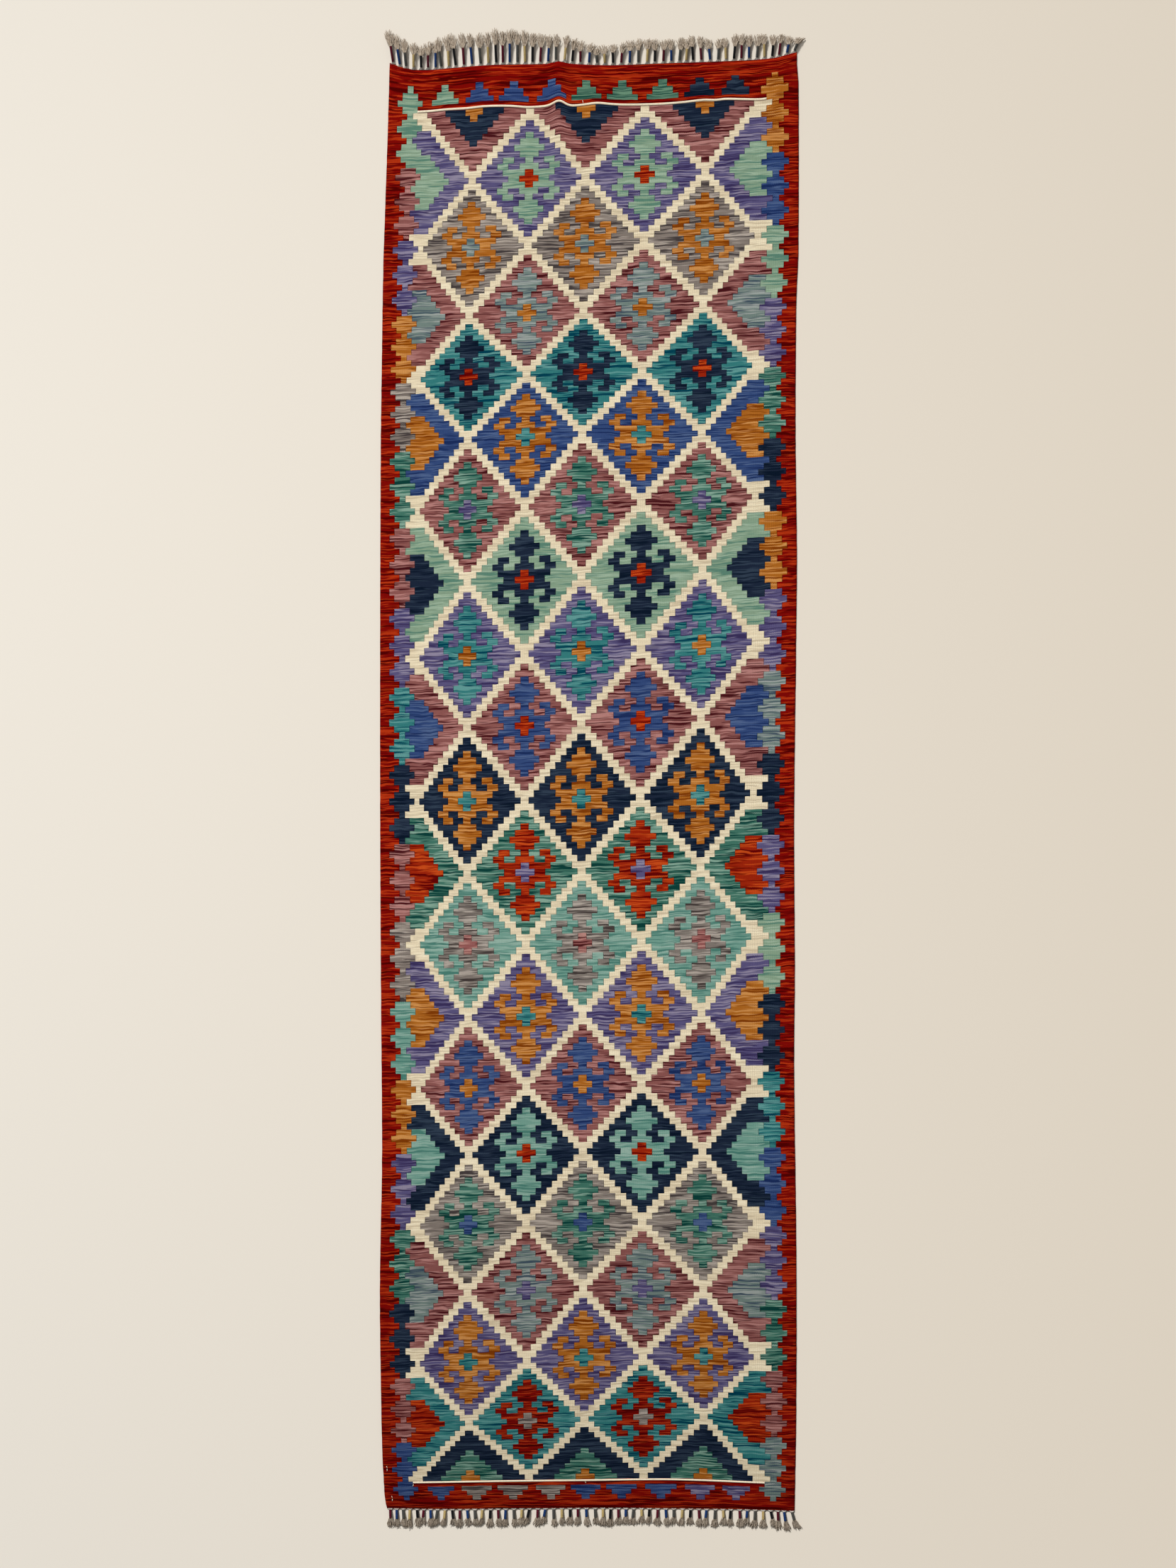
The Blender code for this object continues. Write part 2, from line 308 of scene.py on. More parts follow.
# The cloth is worked out from the middle of its bottom end, and then moved by this shift to
# its place in the frame, where its solid's left edge is known.
LEFT_REACH = 0.42461
SHIFT_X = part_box("kilim")[0][0] + LEFT_REACH
SHIFT_Y = -1.4773


def net_y(across, row_line):
    """Y of a row of the field, from the net of rows, in metres."""
    number = min(int(row_line // BAND_ROWS), len(ROW_NET) - 2)
    above, below = ROW_NET[number], ROW_NET[number + 1]
    share = (row_line - above[0]) / BAND_ROWS
    places = tuple((place, high + (low - high) * share)
                   for place, high, low in zip(ROW_PLACES, above[1:], below[1:]))
    return smooth_between(places, across) / 1000.0


def cloth_point(column_line, row_line):
    """Where a crossing of the weave lies, flat: x and y before the shift to the frame."""
    across = between(COLUMN_LINES, column_line) / COLUMN_LINES[-1][1]
    if row_line < 0.0:
        right = between(RIGHT_END, across)
        share = ((1.0 - right) * between(TOP_ROWS, row_line, 1)
                 + right * between(TOP_ROWS, row_line, 2))
        y = (1.0 - share) * net_y(across, 0.0) + share * edge_y(across, True)
    elif row_line > FIELD_ROWS:
        share = between(BOTTOM_ROWS, row_line)
        y = (1.0 - share) * net_y(across, FIELD_ROWS) + share * edge_y(across, False)
    else:
        y = net_y(across, row_line)
    x = side_x(across, min(1.0, max(0.0, y / CLOTH_LENGTH)))
    from_bottom = 1000.0 * y
    x += MM * between(MIDDLE_COLUMNS, across) * between(COLUMN_DRIFT, from_bottom, 1)
    x += MM * between(RIGHT_COLUMNS, across) * between(COLUMN_DRIFT, from_bottom, 2)
    below_top = edge_y(across, True) - y
    push = between(PUCKER_PUSH, below_top)
    y += push * math.exp(-(((x - PUCKER["x"]) / PUCKER["push_width"]) ** 2))
    waves = bell((below_top - WAVES_BELOW_TOP) / WAVES_REACH)
    y += MM * smooth_between(TOP_WAVES, across) * waves
    return x, y


# Yarns. Columns: the main tone, the lighter streaks, the darker streaks. A script scaled
# these tones from those of each yarn in the photo and in a render.
YARNS = {
    "red": ((127, 10, 6), (179, 52, 18), (79, 2, 2)),
    "cream": ((229, 214, 183), (241, 229, 200), (206, 190, 161)),
    "navy": ((28, 39, 59), (48, 62, 80), (11, 24, 42)),
    "royal": ((51, 73, 122), (80, 101, 142), (27, 45, 92)),
    "violet": ((89, 83, 125), (143, 136, 160), (58, 49, 91)),
    "mauve": ((139, 86, 83), (181, 129, 124), (71, 21, 26)),
    "teal": ((52, 122, 123), (96, 154, 152), (3, 63, 82)),
    "mint": ((133, 160, 136), (157, 181, 159), (90, 132, 115)),
    "light_teal": ((113, 157, 144), (147, 178, 166), (73, 125, 114)),
    "sea_green": ((76, 114, 97), (104, 142, 118), (32, 76, 67)),
    "pine": ((65, 115, 101), (132, 167, 151), (13, 62, 57)),
    "duck_egg": ((113, 131, 126), (157, 165, 162), (64, 81, 96)),
    "ochre": ((171, 102, 34), (206, 145, 80), (127, 59, 10)),
    "grey": ((131, 121, 114), (178, 168, 158), (69, 62, 62)),
    "orange_red": ((155, 37, 13), (198, 75, 26), (98, 4, 4)),
    "deep_red": ((124, 13, 8), (180, 58, 24), (76, 2, 3)),
    "grey_mauve": ((126, 118, 112), (175, 166, 157), (68, 60, 58)),
    "maroon": ((145, 88, 86), (182, 134, 126), (74, 27, 30)),
}
# The cloth's tones are darker towards the bottom end: place along the cloth, share of the cream
# yarn's tone that is left there, share of the dyed yarns' tones.
BOTTOM_DARKENING = ((0.0, 0.80, 0.69), (0.05, 0.82, 0.74), (0.12, 0.92, 0.81), (0.19, 0.94, 0.84),
            (0.25, 0.97, 0.94), (0.40, 1.0, 1.0), (1.0, 1.0, 1.0))
# Every band of diamonds, from the top: its ground, its motif and the motif's middle.
BANDS = (
    ("mauve", "navy", "ochre"), ("violet", "mint", "orange_red"),
    ("grey", "ochre", "duck_egg"), ("mauve", "duck_egg", "ochre"),
    ("teal", "navy", "orange_red"), ("royal", "ochre", "teal"),
    ("mauve", "pine", "violet"), ("mint", "navy", "orange_red"),
    ("violet", "teal", "ochre"), ("mauve", "royal", "orange_red"),
    ("navy", "ochre", "teal"), ("pine", "orange_red", "violet"),
    ("light_teal", "grey_mauve", "maroon"), ("violet", "ochre", "teal"),
    ("mauve", "royal", "ochre"), ("navy", "light_teal", "orange_red"),
    ("grey", "pine", "royal"), ("mauve", "duck_egg", "violet"),
    ("violet", "ochre", "teal"), ("teal", "deep_red", "grey"),
    ("navy", "pine", "ochre"),
)
# Half diamonds at the sides whose motif differs from that of their band.
SIDE_MOTIFS = {19: "orange_red"}
# The lozenges of both borders, from the top: one yarn for every three of them.
LEFT_LOZENGES = ("mint", "mauve", "violet", "ochre", "grey", "pine", "mauve", "violet",
                 "teal", "navy", "mauve", "grey", "light_teal", "ochre", "violet", "pine",
                 "navy", "mauve", "royal")
RIGHT_LOZENGES = ("ochre", "royal", "mint", "violet", "pine", "navy", "ochre", "violet",
                  "duck_egg", "navy", "violet", "mint", "navy", "teal", "royal", "violet",
                  "pine", "mauve", "duck_egg")
# The triangles of the end borders: their middle columns and their yarns.
TOP_PLACES = (-54, -40, -27, -13, 0, 13, 27, 40, 54)
BOTTOM_PLACES = (-54, -40, -27, -13, 0, 13, 27, 41, 55)
TOP_TRIANGLES = ("mint", "royal", "royal", "royal", "sea_green", "sea_green",
                 "sea_green", "navy", "navy")
BOTTOM_TRIANGLES = ("royal", "grey", "grey", "grey", "royal", "royal", "royal",
                    "violet", "violet")
# Reach of the motif from a diamond's middle, in columns, at each row off its middle.
MOTIF = {0: ((0.0, 7.5),), 1: ((0.0, 9.5),), 2: ((0.0, 3.5), (7.5, 11.5)),
         3: ((0.0, 1.5), (5.5, 9.5)), 4: ((0.0, 3.5),), 5: ((0.0, 5.5),),
         6: ((0.0, 3.5),), 7: ((0.0, 1.5),)}
CUT_MOTIF = {0: 11.5, 1: 9.5, 2: 7.5, 3: 5.5, 4: 3.5, 5: 1.5}
MIDDLE_CROSS = {0: 3.5, 1: 1.5}
# Lozenges and triangles: reach from their middle or from the cloth's end, row by row.
LOZENGE_REACH = (1.0, 3.0, 5.0, 3.0)
TRIANGLE_REACH = (1.5, 3.5, 5.5)
# The lattice, in columns from the cloth's middle: the repeat of the diamonds, the reach of
# a diamond on its middle row, and where the half diamonds at the sides, their motif and
# the border start. A slope gains two columns a row.
REPEAT = 42
DIAMOND_REACH = 19.5
SIDE_START = 43.5
SIDE_MOTIF_START = 51.5
BORDER_START = 68.5
SLOPE = 2
# Rows off the middle row that a diamond, a half diamond and its motif still reach.
DIAMOND_ROWS = 9
SIDE_ROWS = 8
SIDE_MOTIF_ROWS = 4
# Rows of an end border up to the triangles' base, rows that share a yarn in the lozenges,
# and rows by which the first lozenges start before the field.
END_ROWS = 4
LOZENGE_ROWS = 12
LOZENGE_START = 3


def diamond_yarn(band, rows_off, columns_off, is_cut):
    """Yarn inside a diamond: its ground, its motif or the motif's middle cross."""
    ground, motif, middle = BANDS[band]
    if columns_off < MIDDLE_CROSS.get(rows_off, 0.0):
        return middle
    if is_cut:
        return motif if columns_off < CUT_MOTIF.get(rows_off, 0.0) else ground
    for start, end in MOTIF.get(rows_off, ()):
        if start <= columns_off < end:
            return motif
    return ground


def field_yarn(column, row):
    """Yarn of the lattice field at a column and a row."""
    for band in (row // BAND_ROWS, row // BAND_ROWS + 1):
        rows_off = abs(row - BAND_ROWS * band)
        if band % 2 == 0:
            centres = (-REPEAT, 0, REPEAT)
        else:
            centres = (-REPEAT // 2, REPEAT // 2)
            if rows_off <= SIDE_ROWS and abs(column) > SIDE_START + SLOPE * rows_off:
                ground, motif, _ = BANDS[band]
                motif = SIDE_MOTIFS.get(band, motif)
                motif_start = SIDE_MOTIF_START + SLOPE * rows_off
                is_motif = rows_off <= SIDE_MOTIF_ROWS and abs(column) > motif_start
                return motif if is_motif else ground
        for centre in centres:
            columns_off = abs(column - centre)
            if rows_off <= DIAMOND_ROWS and columns_off < DIAMOND_REACH - SLOPE * rows_off:
                is_cut = band in (0, len(BANDS) - 1)
                return diamond_yarn(band, rows_off, columns_off, is_cut)
    return "cream"


def yarn_at(column, row):
    """Yarn of one step of the weave: border, lozenge, end triangle or field."""
    off_border = abs(abs(column) - BORDER_START)
    to_end = row + END_ROWS if row < FIELD_ROWS / 2 else FIELD_ROWS + END_ROWS - row
    if to_end >= 0 and off_border < LOZENGE_REACH[row % len(LOZENGE_REACH)]:
        side = LEFT_LOZENGES if column < 0 else RIGHT_LOZENGES
        return side[max(0, (row + LOZENGE_START) // LOZENGE_ROWS)]
    if abs(column) > BORDER_START:
        return "red"
    if 0 <= row <= FIELD_ROWS:
        return field_yarn(column, row)
    if 0 <= to_end < len(TRIANGLE_REACH):
        places = TOP_PLACES if row < 0 else BOTTOM_PLACES
        names = TOP_TRIANGLES if row < 0 else BOTTOM_TRIANGLES
        for centre, name in zip(places, names):
            if abs(column - centre) < TRIANGLE_REACH[to_end]:
                return name
    return "red"


chart = [[yarn_at(column - COLUMNS // 2, LAST_ROW - line) for column in range(COLUMNS)]
         for line in range(ROWS)]

# Each patch is woven with its own stretch of yarn, so its streaks are its own.
patch_of = [[None] * COLUMNS for _ in range(ROWS)]
chance = random.Random(11)
for line in range(ROWS):
    for column in range(COLUMNS):
        if patch_of[line][column] is not None:
            continue
        lot = chance.uniform(0.0, 1.0)
        waiting = [(line, column)]
        patch_of[line][column] = lot
        while waiting:
            at_line, at_column = waiting.pop()
            for next_line, next_column in ((at_line + 1, at_column), (at_line - 1, at_column),
                                           (at_line, at_column + 1), (at_line, at_column - 1)):
                inside = 0 <= next_line < ROWS and 0 <= next_column < COLUMNS
                if (inside and patch_of[next_line][next_column] is None
                        and chart[next_line][next_column] == chart[at_line][at_column]):
                    patch_of[next_line][next_column] = lot
                    waiting.append((next_line, next_column))

# The unevenness of handwork: slow drift and fine fidget of the crossings, and low swells.
DRIFT = 0.0007
DRIFT_SCALE = 55.0
FIDGET_ACROSS = 0.0005
FIDGET_ALONG = 0.0004
FIDGET_SCALE = 400.0
SWELL = 0.0010


def grid_place(point):
    """A point of the flat grid, which runs from -1 to 1, counted in columns and rows."""
    return (point.x + 1.0) / 2.0 * COLUMNS, (point.y + 1.0) / 2.0 * ROWS


cloth_edit = bmesh.new()
bmesh.ops.create_grid(cloth_edit, x_segments=COLUMNS, y_segments=ROWS, size=1.0)
main_tone = cloth_edit.faces.layers.float_color.new("main_tone")
light_tone = cloth_edit.faces.layers.float_color.new("light_tone")
dark_tone = cloth_edit.faces.layers.float_color.new("dark_tone")
facts = cloth_edit.faces.layers.float_color.new("patch")
weave_map = cloth_edit.loops.layers.uv.new("weave")
tones = {name: [dye(*tone) for tone in three] for name, three in YARNS.items()}
for face in cloth_edit.faces:
    column, line = (int(count) for count in grid_place(face.calc_center_median()))
    name = chart[line][column]
    depth = between(BOTTOM_DARKENING, line / ROWS, 1 if name == "cream" else 2)
    for layer, tone in zip((main_tone, light_tone, dark_tone), tones[name]):
        face[layer] = (*(depth * value for value in tone[:3]), 1.0)
    slit_left = column > 0 and chart[line][column - 1] != name
    slit_right = column < COLUMNS - 1 and chart[line][column + 1] != name
    face[facts] = (patch_of[line][column], float(slit_left), float(slit_right), 1.0)
    for loop in face.loops:
        loop[weave_map].uv = grid_place(loop.vert.co)
# The noise of drift and fidget takes its seed from the clock, so the points differ by about
# half a millimetre from run to run.
inward = cloth_edit.verts.layers.float_vector.new("inward")
for vert in cloth_edit.verts:
    column, line = (round(count) for count in grid_place(vert.co))
    x, y = cloth_point(column - COLUMNS / 2.0, LAST_ROW + 0.5 - line)
    drift = noise.noise_vector(Vector((x * DRIFT_SCALE, y * DRIFT_SCALE, 3.0)))
    fidget = noise.noise_vector(Vector((x * FIDGET_SCALE, y * FIDGET_SCALE, 7.0)))
    at_side = column in (0, COLUMNS)
    x += (DRIFT * drift.x if not at_side else 0.0) + FIDGET_ACROSS * fidget.x
    if line not in (0, ROWS):
        y += DRIFT * drift.y + FIDGET_ALONG * fidget.y
    vert[inward] = (float(column == 0) - float(column == COLUMNS),
                    float(line == 0) - float(line == ROWS), 0.0)
    swell = max(0.0, noise.noise(Vector((x * 5.0, y * 4.0, 1.0))))
    vert.co = (x + SHIFT_X, y + SHIFT_Y, pucker_lift(x, y) + SWELL * swell)

# The flat grid is raised into a closed sheet in three steps, which round its rim off.
# Columns: rise, pull inwards. The rises add up to the cloth's thickness.
RIM_ROUND = 0.0007
RIM_STEPS = ((0.0010, -RIM_ROUND), (0.0011, 0.0002), (0.0009, 0.0008))
level = list(cloth_edit.faces)
for vert in cloth_edit.verts:
    vert.co += RIM_ROUND * vert[inward]
for number, (rise, pull) in enumerate(RIM_STEPS):
    raised = bmesh.ops.extrude_face_region(cloth_edit, geom=level)
    if number > 0:
        bmesh.ops.delete(cloth_edit, geom=level, context="FACES")
    level = [item for item in raised["geom"] if isinstance(item, bmesh.types.BMFace)]
    for item in raised["geom"]:
        if isinstance(item, bmesh.types.BMVert):
            item.co += pull * item[inward] + Vector((0.0, 0.0, rise))
bmesh.ops.recalc_face_normals(cloth_edit, faces=cloth_edit.faces)
cloth_edit.verts.layers.float_vector.remove(inward)
cloth_mesh = bpy.data.meshes.new("woven_cloth")
cloth_edit.to_mesh(cloth_mesh)
cloth_edit.free()
cloth_mesh.shade_smooth()
cloth = bpy.data.objects.new("woven_cloth", cloth_mesh)
scene.collection.objects.link(cloth)

# The weave, in the material: the pitches of its steps, ribs and picks and the height of the wefts'
# waves in metres, and the depth of its zones, of the slits and of the slits' painted shade as
# shares.
COLUMN_PITCH = 0.00542
ROW_PITCH = 0.01254
RIB_PITCH = 0.0018
PICK_PITCH = 0.0013
WEFT_WAVE = 0.007
ZONE_DEPTH = 0.19
SLIT_PAINTED_SHADE = 0.58
SLIT_DEPTH = 0.7
# How far apart the noise of two patches lies, and that of the light and the dark streaks.
LOTS_APART = 90.0
DARK_APART = 31.7

weave, tree, shader, add = new_material("woven_wool", 0.95, 0.01)
chart_place = add("UVMap", uv_map="weave")
yarn_main = add("Attribute", attribute_name="main_tone")
yarn_light = add("Attribute", attribute_name="light_tone")
yarn_dark = add("Attribute", attribute_name="dark_tone")
patch = add("Attribute", attribute_name="patch")
patch_parts = add("SeparateColor", {0: patch.outputs["Color"]})
lot, slit_left, slit_right = patch_parts.outputs[:3]


def maths(operation, *values):
    """The result of an operation on sockets and values."""
    node = add("Math", dict(enumerate(values)), operation=operation)
    return node.outputs[0]


def soft_step(value, low, high, to_low=0.0, to_high=1.0):
    """A smooth change from one level to the other, while the value goes from low to high."""
    node = add("MapRange", {0: value, 1: low, 2: high, 3: to_low, 4: to_high},
               interpolation_type="SMOOTHSTEP")
    return node.outputs[0]


def spot(x, y, z):
    """A place or a tone from its three parts."""
    return add("CombineXYZ", {0: x, 1: y, 2: z}).outputs[0]


def mixed(share, tone, other):
    """A tone with a share of another one over it."""
    return add("Mix", {0: share, 6: tone, 7: other}, data_type="RGBA").outputs[2]


chart_parts = add("SeparateXYZ", {0: chart_place.outputs[0]})
across_m = maths("MULTIPLY", chart_parts.outputs[0], COLUMN_PITCH)
along_m = maths("MULTIPLY", chart_parts.outputs[1], ROW_PITCH)
lot_far = maths("MULTIPLY", lot, LOTS_APART)
dark_far = maths("ADD", lot_far, DARK_APART)


def wool_noise(across_scale, along, along_scale, far=lot_far, roughness=0.5):
    """Noise, 0 to 1, stretched to a scale across the cloth and to one along it."""
    place = spot(maths("MULTIPLY", across_m, across_scale),
                 maths("MULTIPLY", along, along_scale), far)
    node = add("TexNoise", {"Vector": place, "Scale": 1.0, "Detail": 1.0,
                            "Roughness": roughness})
    return node.outputs[0]


# The wefts run in soft waves.
wave = maths("SUBTRACT", wool_noise(26.0, along_m, 30.0), 0.5)
along_wavy = maths("ADD", along_m, maths("MULTIPLY", wave, WEFT_WAVE))
# Neighbouring warps lift alternate picks, so a change of tone has fine teeth.
rib_count = maths("DIVIDE", across_m, RIB_PITCH)
half_pick = maths("MULTIPLY", maths("MODULO", maths("FLOOR", rib_count), 2.0), 0.5)
pick_count = maths("ADD", maths("DIVIDE", along_wavy, PICK_PITCH), half_pick)
pick_number = maths("FLOOR", pick_count)
# Streaks: the yarn's tone changes from one pick to the next and slowly along each pick.
zone = maths("SUBTRACT", wool_noise(7.0, along_m, 42.0), 0.5)
zone_shift = maths("MULTIPLY", zone, ZONE_DEPTH)
light_streak = wool_noise(13.0, pick_number, 0.50, lot_far, 0.6)
dark_streak = wool_noise(11.0, pick_number, 0.44, dark_far, 0.6)
light_share = soft_step(maths("ADD", light_streak, zone_shift), 0.50, 0.58)
dark_share = soft_step(maths("SUBTRACT", dark_streak, zone_shift), 0.53, 0.60)
toned = mixed(light_share, yarn_main.outputs["Color"], yarn_light.outputs["Color"])
toned = mixed(dark_share, toned, yarn_dark.outputs["Color"])
# Ribs over the warps, with each pick bulging between them.
rib = maths("ABSOLUTE", maths("SINE", maths("MULTIPLY", rib_count, 0.5 * math.pi)))
pick = maths("ABSOLUTE", maths("SINE", maths("MULTIPLY", pick_count, math.pi)))
bulge = maths("ADD", maths("MULTIPLY", pick, 0.5), 0.5)
relief = maths("MULTIPLY", maths("POWER", rib, 0.5), bulge)
# Painted shade: the base colour is darkened to 0.8 in the grooves between the ribs and between the
# picks; the same relief drives the bump below.
groove_painted_shade = soft_step(relief, 0.05, 0.75, 0.80, 1.0)
# Painted shade in the slits where two yarns turn back on neighbouring warps: the base colour is
# darkened along each cell edge that borders another yarn, and the bump sinks it.
cell_side = maths("FRACT", chart_parts.outputs[0])
left_dark = maths("MULTIPLY", slit_left, soft_step(cell_side, 0.02, 0.16, 1.0, 0.0))
right_dark = maths("MULTIPLY", slit_right, soft_step(cell_side, 0.84, 0.98))
slit = maths("MAXIMUM", left_dark, right_dark)
slit_painted_shade = maths("SUBTRACT", 1.0, maths("MULTIPLY", slit, SLIT_PAINTED_SHADE))
# Wool fibres scatter the tone slightly.
fibre_shade = soft_step(wool_noise(420.0, along_m, 900.0), 0.3, 0.7, 0.85, 0.98)
# The painted shade of the grooves and slits and the fibres' random tone darken the streaked yarn
# colour.
shade = maths("MULTIPLY", maths("MULTIPLY", groove_painted_shade, slit_painted_shade), fibre_shade)
final = add("VectorMath", {0: toned, 1: spot(shade, shade, shade)}, operation="MULTIPLY")
tree.links.new(final.outputs[0], shader.inputs["Base Color"])
height = maths("SUBTRACT", relief, maths("MULTIPLY", slit, SLIT_DEPTH))
bump = add("Bump", {"Height": height, "Strength": 0.5, "Distance": 0.0006})
tree.links.new(bump.outputs[0], shader.inputs["Normal"])
cloth_mesh.materials.append(weave)

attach(cloth, "root")
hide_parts("kilim")

# ---------------------------------------------------------------------------
# The twined lines. Two cream wool yarns twisted round each other across the cloth,
# one line under each end border, beaten into the weave so that half of them stands up.
# ---------------------------------------------------------------------------
WELD = 0.000001
FLUFF_SCALE = 1600.0


def round_yarns(name, splines, roundness, finishes):
    """Round yarns as one mesh. Each spline is (points with a radius, finish number)."""
    path = bpy.data.curves.new(name, "CURVE")
    path.dimensions = "3D"
    path.bevel_depth = 1.0
    path.bevel_resolution = roundness
    path.use_fill_caps = True
    for finish in finishes:
        path.materials.append(finish)
    for points, finish in splines:
        line = path.splines.new("POLY")
        line.points.add(len(points) - 1)
        for knot, (x, y, z, radius) in zip(line.points, points):
            knot.co = (x, y, z, 1.0)
            knot.radius = radius
        line.material_index = finish
        line.use_smooth = True
    rough = bpy.data.objects.new(name + "_path", path)
    scene.collection.objects.link(rough)
    seen = rough.evaluated_get(bpy.context.evaluated_depsgraph_get())
    mesh = bpy.data.meshes.new_from_object(seen)
    bpy.data.objects.remove(rough)
    bpy.data.curves.remove(path)
    weld = bmesh.new()
    weld.from_mesh(mesh)
    bmesh.ops.remove_doubles(weld, verts=weld.verts, dist=WELD)
    weld.to_mesh(mesh)
    weld.free()
    mesh.name = name
    thing = bpy.data.objects.new(name, mesh)
    scene.collection.objects.link(thing)
    return thing


def yarn_finish(name, main, light, dark, grain):
    """Matt spun yarn whose tone varies in short flecks."""
    material, tree, shader, add = new_material(name, 0.95)
    place = add("TexCoord")
    fleck = add("TexNoise", {"Vector": place.outputs["Object"], "Scale": grain, "Detail": 2.0})
    ramp = add("ValToRGB", {0: fleck.outputs["Fac"]})
    ramp.color_ramp.elements[0].position = 0.35
    ramp.color_ramp.elements[0].color = dye(*dark)
    ramp.color_ramp.elements[1].position = 0.65
    ramp.color_ramp.elements[1].color = dye(*light)
    middle = ramp.color_ramp.elements.new(0.5)
    middle.color = dye(*main)
    tree.links.new(ramp.outputs[0], shader.inputs["Base Color"])
    fluff = add("TexNoise", {"Vector": place.outputs["Object"], "Scale": FLUFF_SCALE,
                             "Detail": 2.0})
    bump = add("Bump", {"Height": fluff.outputs["Fac"], "Strength": 0.5, "Distance": 0.0005})
    tree.links.new(bump.outputs[0], shader.inputs["Normal"])
    shader.inputs["Sheen Weight"].default_value = 0.2
    return material


TWIST_PITCH = 0.0062
TWIST_STEPS = 8
TWIST_REACH = 0.0011
TWINE_RADIUS = 0.00092
TWINE_LENGTH = 0.72
TWINE_COLUMNS = 131.0
TWINE_LIFT = 0.0004
cream_twine = yarn_finish("cream_twine", (236, 225, 200), (244, 236, 216), (214, 198, 168), 700.0)


def twined_line(name, row_line, width):
    """Two cream yarns twisted together along one row line of the weave."""
    turns = TWINE_LENGTH / TWIST_PITCH
    count = int(turns * TWIST_STEPS)
    strands = []
    for strand in range(2):
        points = []
        for number in range(count + 1):
            share = number / count
            x, y = cloth_point(TWINE_COLUMNS * share - TWINE_COLUMNS / 2.0, row_line)
            turn = 2.0 * math.pi * turns * share + math.pi * strand
            lift = pucker_lift(x, y) + THICKNESS + TWINE_LIFT
            points.append((x + SHIFT_X, y + SHIFT_Y + width * TWIST_REACH * math.cos(turn),
                           lift + 0.5 * TWIST_REACH * math.sin(turn), width * TWINE_RADIUS))
        strands.append((points, 0))
    line = round_yarns(name, strands, 1, [cream_twine])
    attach(line, "root")
    return line


top_line = twined_line("twined_line_top", row_line=-0.70, width=1.30)
bottom_line = twined_line("twined_line_bottom", row_line=220.70, width=1.05)

# ---------------------------------------------------------------------------
# Loose ends of the cream weft. A few short tails of thread stand out of the red border,
# where the weaver changed to a new length of yarn.
# ---------------------------------------------------------------------------
TAIL_STEPS = 5
TAIL_RADIUS = 0.0005
TAIL_BEND = 0.0004
TAIL_LIFT = 0.0006
TAIL_ARCH = 0.0012
# Columns: place from the left edge and from the bottom end, length, turn in degrees.
LOOSE_ENDS = ((0.0100, 0.0790, 0.0045, 80.0), (0.0096, 0.0850, 0.0030, 100.0),
              (0.0200, 0.0240, 0.0035, 95.0), (0.0206, 0.0180, 0.0040, 75.0),
              (0.0628, 0.0480, 0.0035, 60.0), (0.4128, 0.0540, 0.0030, 95.0),
              (0.4073, 2.8570, 0.0050, 96.0))
tails = []
for from_left, from_bottom, length, turn in LOOSE_ENDS:
    start_x, turn = from_left - HALF_WIDTH, math.radians(turn)
    points = []
    for step in range(TAIL_STEPS + 1):
        share = step / TAIL_STEPS
        along = length * (share - 0.5)
        x = start_x + along * math.cos(turn) + TAIL_BEND * math.sin(5.0 * share)
        y = from_bottom + along * math.sin(turn)
        lift = pucker_lift(x, y) + THICKNESS + TAIL_LIFT + TAIL_ARCH * math.sin(math.pi * share)
        points.append((x + SHIFT_X, y + SHIFT_Y, lift, TAIL_RADIUS))
    tails.append((points, 0))
loose_ends = round_yarns("loose_ends", tails, 1, [cream_twine])
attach(loose_ends, "root")

# ---------------------------------------------------------------------------
# The fringes. The cloth's own taupe wool warps, gathered in 53 bunches at each end. Each
# bunch is bound with a coloured thread, and its ends fray out past the binding.
# ---------------------------------------------------------------------------
TASSELS = 53
END_WIDTH = 0.828
# Chance of each tassel, to either side: its place, lean, bound share and turn.
PLACE_CHANCE = 0.0009
LEAN_CHANCE = 0.0044
BOUND_CHANCE = 0.04
TURN_CHANCE = 0.0022
# Columns: place across the cloth, drift of the tassels along the edge, length of a tassel,
# sideways lean of its tip.
TOP_TASSELS = (
    (0.00, 0.0000, 0.067, -0.0170), (0.03, -0.0030, 0.062, -0.0070),
    (0.06, -0.0062, 0.054, -0.0040), (0.11, -0.0075, 0.053, -0.0035),
    (0.17, -0.0130, 0.068, -0.0040), (0.25, -0.0098, 0.069, -0.0030),
    (0.33, -0.0135, 0.066, -0.0010), (0.42, -0.0140, 0.058, 0.0000),
    (0.45, -0.0108, 0.053, 0.0010), (0.48, -0.0115, 0.050, 0.0008),
    (0.52, -0.0068, 0.039, -0.0004), (0.57, -0.0066, 0.043, -0.0006),
    (0.60, -0.0028, 0.049, 0.0000), (0.66, 0.0003, 0.050, 0.0000),
    (0.70, 0.0024, 0.048, 0.0004), (0.75, 0.0005, 0.053, 0.0005),
    (0.80, 0.0040, 0.047, -0.0010), (0.86, 0.0036, 0.053, 0.0020),
    (0.92, 0.0040, 0.053, 0.0020), (0.96, 0.0026, 0.042, 0.0060),
    (1.00, 0.0018, 0.031, 0.0150))
